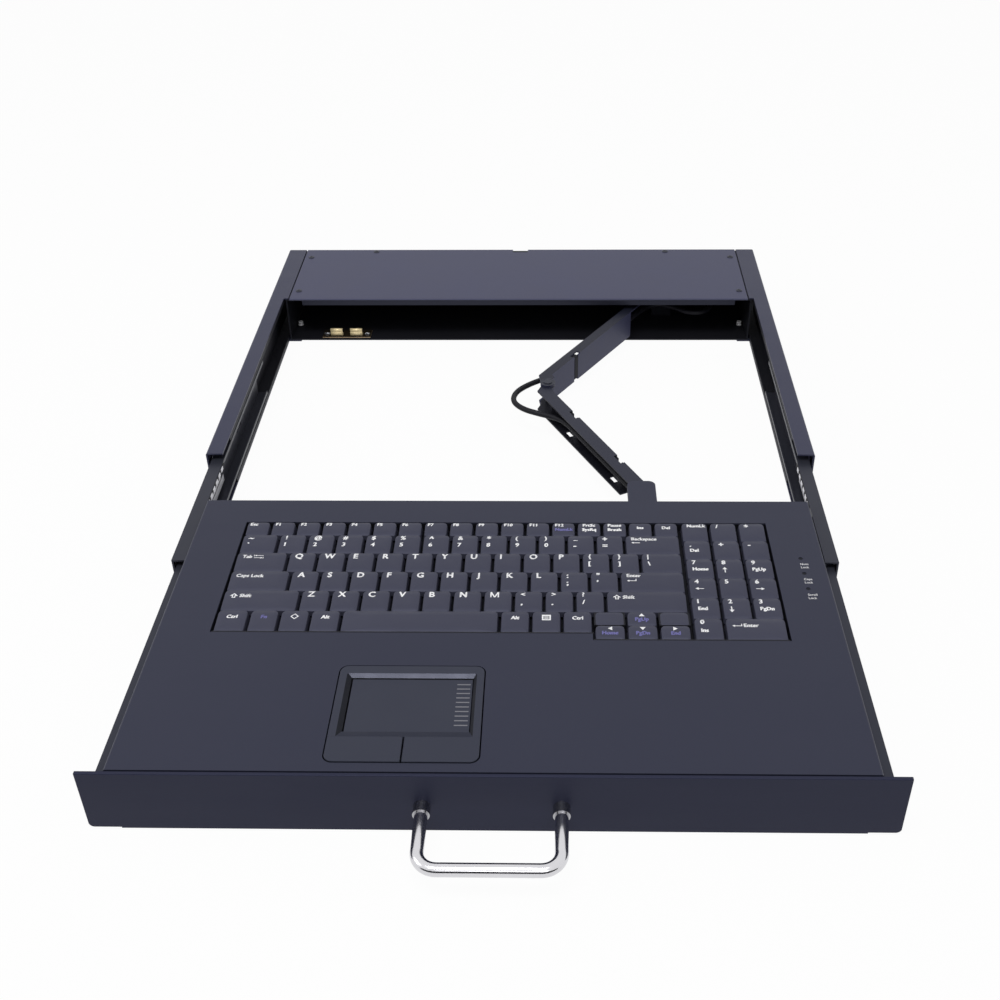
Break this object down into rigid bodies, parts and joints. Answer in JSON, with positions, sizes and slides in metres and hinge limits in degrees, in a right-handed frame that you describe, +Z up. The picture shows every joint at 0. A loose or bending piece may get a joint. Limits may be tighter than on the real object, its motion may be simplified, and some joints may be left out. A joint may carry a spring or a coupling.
{
  "type": "rack keyboard drawer",
  "caption": "Sliding rack drawer with keyboard and touchpad, drawn out on ball slides from a low chassis, with a bow pull handle, a folding cable arm and a brass spring catch.",
  "frame": {"origin": "under the middle of the whole drawer, on the surface that the chassis stands on", "axes": "+X to the right of someone at the keyboard, +Y to the back of the rack, +Z up"},
  "size_m": [0.448, 0.7153, 0.0442],
  "materials": {
    "powder_coat": "fine textured powder coat, dark blue-grey",
    "panel_coat": "fine textured powder coat, dark blue-grey",
    "zinc": "bright zinc plate",
    "steel": "polished rod",
    "dark_steel": "black coat",
    "brass": "bright spring brass",
    "key_plastic": "fine matt moulding",
    "base_plastic": "matt moulding",
    "pad_plastic": "satin moulding",
    "rubber": "matt",
    "cable_jacket": "matt sheath",
    "lamp": "clear lens, unlit",
    "board": "laminate with components"
  },
  "bodies": {
    "chassis": {"left_side_rail": "powder_coat", "right_side_rail": "powder_coat", "rear_pan": "powder_coat", "rear_cover": "powder_coat", "cover_screws": "dark_steel", "catch_base": "brass", "catch_clips": "brass", "catch_screws": "zinc", "arm_bracket": "powder_coat", "arm_bracket_screws": "dark_steel", "arm_rear_pin": "dark_steel", "left_outer_slide": "dark_steel", "right_outer_slide": "dark_steel", "outer_slide_rivets": "zinc", "cable_gland": "cable_jacket", "cable_rear": "cable_jacket"},
    "drawer": {"drawer_tray": "powder_coat", "deck_plate": "powder_coat", "front_panel": "panel_coat", "panel_screws": "dark_steel", "pull_handle": "steel", "handle_collars": "steel", "handle_screws": "dark_steel", "left_inner_slide": "dark_steel", "right_inner_slide": "dark_steel", "inner_slide_screws": "zinc", "keyboard_base": "base_plastic", "keyboard_membrane": "rubber", "touchpad_frame": "pad_plastic", "touchpad_surface": "pad_plastic", "indicator_lamps": "lamp", "controller_board": "board", "drawer_arm_bracket": "powder_coat", "drawer_back_screws": "dark_steel", "catch_strike": "powder_coat", "cable_drawer": "cable_jacket"},
    "left_mid": {"left_mid_slide": "dark_steel"},
    "right_mid": {"right_mid_slide": "dark_steel"},
    "left_outer_cage": {"left_outer_ball_cage": "zinc"},
    "right_outer_cage": {"right_outer_ball_cage": "zinc"},
    "left_inner_cage": {"left_inner_ball_cage": "zinc"},
    "right_inner_cage": {"right_inner_ball_cage": "zinc"},
    "arm_rear": {"arm_rear_link": "powder_coat", "elbow_pin": "dark_steel", "cable_arm_rear": "cable_jacket"},
    "arm_front": {"arm_front_link": "powder_coat", "arm_front_pin": "dark_steel", "cable_arm_front": "cable_jacket", "cable_elbow": "cable_jacket"},
    "function_keys": {"function_keys": "key_plastic"},
    "number_keys": {"number_keys": "key_plastic"},
    "upper_letter_keys": {"upper_letter_keys": "key_plastic"},
    "home_letter_keys": {"home_letter_keys": "key_plastic"},
    "lower_letter_keys": {"lower_letter_keys": "key_plastic"},
    "modifier_keys": {"modifier_keys": "key_plastic"},
    "space_bar": {"space_bar": "key_plastic"},
    "arrow_keys": {"arrow_keys": "key_plastic"},
    "number_pad_keys": {"number_pad_keys": "key_plastic"},
    "touch_left": {"touchpad_left_button": "pad_plastic"},
    "touch_right": {"touchpad_right_button": "pad_plastic"}
  },
  "joints": [
    {"name": "drawer_slide", "type": "slide", "parent": "chassis", "child": "drawer", "axis": [0, 1, 0], "range_m": [0, 0.309], "deforming": ["cable_drawer"]},
    {"name": "left_mid_slide_run", "type": "slide", "parent": "chassis", "child": "left_mid", "axis": [0, 1, 0], "range_m": [0, 0.1545]},
    {"name": "left_outer_cage_run", "type": "slide", "parent": "chassis", "child": "left_outer_cage", "axis": [0, 1, 0], "range_m": [0, 0.07725]},
    {"name": "left_inner_cage_run", "type": "slide", "parent": "chassis", "child": "left_inner_cage", "axis": [0, 1, 0], "range_m": [0, 0.23175]},
    {"name": "right_mid_slide_run", "type": "slide", "parent": "chassis", "child": "right_mid", "axis": [0, 1, 0], "range_m": [0, 0.1545]},
    {"name": "right_outer_cage_run", "type": "slide", "parent": "chassis", "child": "right_outer_cage", "axis": [0, 1, 0], "range_m": [0, 0.07725]},
    {"name": "right_inner_cage_run", "type": "slide", "parent": "chassis", "child": "right_inner_cage", "axis": [0, 1, 0], "range_m": [0, 0.23175]},
    {"name": "arm_rear_hinge", "type": "hinge", "parent": "chassis", "child": "arm_rear", "pos_m": [0.1334, 0.29015, 0.0327], "axis": [0, 0, 1], "range_deg": [-57.99, 0], "deforming": ["cable_rear"]},
    {"name": "arm_elbow_hinge", "type": "hinge", "parent": "arm_rear", "child": "arm_front", "pos_m": [0.02778, 0.12114, 0.0231], "axis": [0, 0, 1], "range_deg": [0, 120.63], "deforming": ["cable_elbow"]},
    {"name": "function_keys_press", "type": "slide", "parent": "drawer", "child": "function_keys", "axis": [0, 0, -1], "range_m": [0, 0.0025], "stiffness_N_per_m": 500, "springref_m": -0.002},
    {"name": "number_keys_press", "type": "slide", "parent": "drawer", "child": "number_keys", "axis": [0, 0, -1], "range_m": [0, 0.0025], "stiffness_N_per_m": 500, "springref_m": -0.002},
    {"name": "upper_letter_keys_press", "type": "slide", "parent": "drawer", "child": "upper_letter_keys", "axis": [0, 0, -1], "range_m": [0, 0.0025], "stiffness_N_per_m": 500, "springref_m": -0.002},
    {"name": "home_letter_keys_press", "type": "slide", "parent": "drawer", "child": "home_letter_keys", "axis": [0, 0, -1], "range_m": [0, 0.0025], "stiffness_N_per_m": 500, "springref_m": -0.002},
    {"name": "lower_letter_keys_press", "type": "slide", "parent": "drawer", "child": "lower_letter_keys", "axis": [0, 0, -1], "range_m": [0, 0.0025], "stiffness_N_per_m": 500, "springref_m": -0.002},
    {"name": "modifier_keys_press", "type": "slide", "parent": "drawer", "child": "modifier_keys", "axis": [0, 0, -1], "range_m": [0, 0.0025], "stiffness_N_per_m": 500, "springref_m": -0.002},
    {"name": "space_bar_press", "type": "slide", "parent": "drawer", "child": "space_bar", "axis": [0, 0, -1], "range_m": [0, 0.0025], "stiffness_N_per_m": 500, "springref_m": -0.002},
    {"name": "arrow_keys_press", "type": "slide", "parent": "drawer", "child": "arrow_keys", "axis": [0, 0, -1], "range_m": [0, 0.0025], "stiffness_N_per_m": 500, "springref_m": -0.002},
    {"name": "number_pad_keys_press", "type": "slide", "parent": "drawer", "child": "number_pad_keys", "axis": [0, 0, -1], "range_m": [0, 0.0025], "stiffness_N_per_m": 500, "springref_m": -0.002},
    {"name": "touchpad_left_press", "type": "slide", "parent": "drawer", "child": "touch_left", "axis": [0, 0, -1], "range_m": [0, 0.0006], "stiffness_N_per_m": 900, "springref_m": -0.0006},
    {"name": "touchpad_right_press", "type": "slide", "parent": "drawer", "child": "touch_right", "axis": [0, 0, -1], "range_m": [0, 0.0006], "stiffness_N_per_m": 900, "springref_m": -0.0006}
  ],
  "couplings": [
    {"joint": "left_mid_slide_run", "follows": "drawer_slide", "ratio": 0.5},
    {"joint": "left_outer_cage_run", "follows": "drawer_slide", "ratio": 0.25},
    {"joint": "left_inner_cage_run", "follows": "drawer_slide", "ratio": 0.75},
    {"joint": "right_mid_slide_run", "follows": "drawer_slide", "ratio": 0.5},
    {"joint": "right_outer_cage_run", "follows": "drawer_slide", "ratio": 0.25},
    {"joint": "right_inner_cage_run", "follows": "drawer_slide", "ratio": 0.75},
    {"joint": "arm_rear_hinge", "follows": "drawer_slide", "rad_per_m": -3.2754},
    {"joint": "arm_elbow_hinge", "follows": "drawer_slide", "rad_per_m": 6.8133}
  ]
}
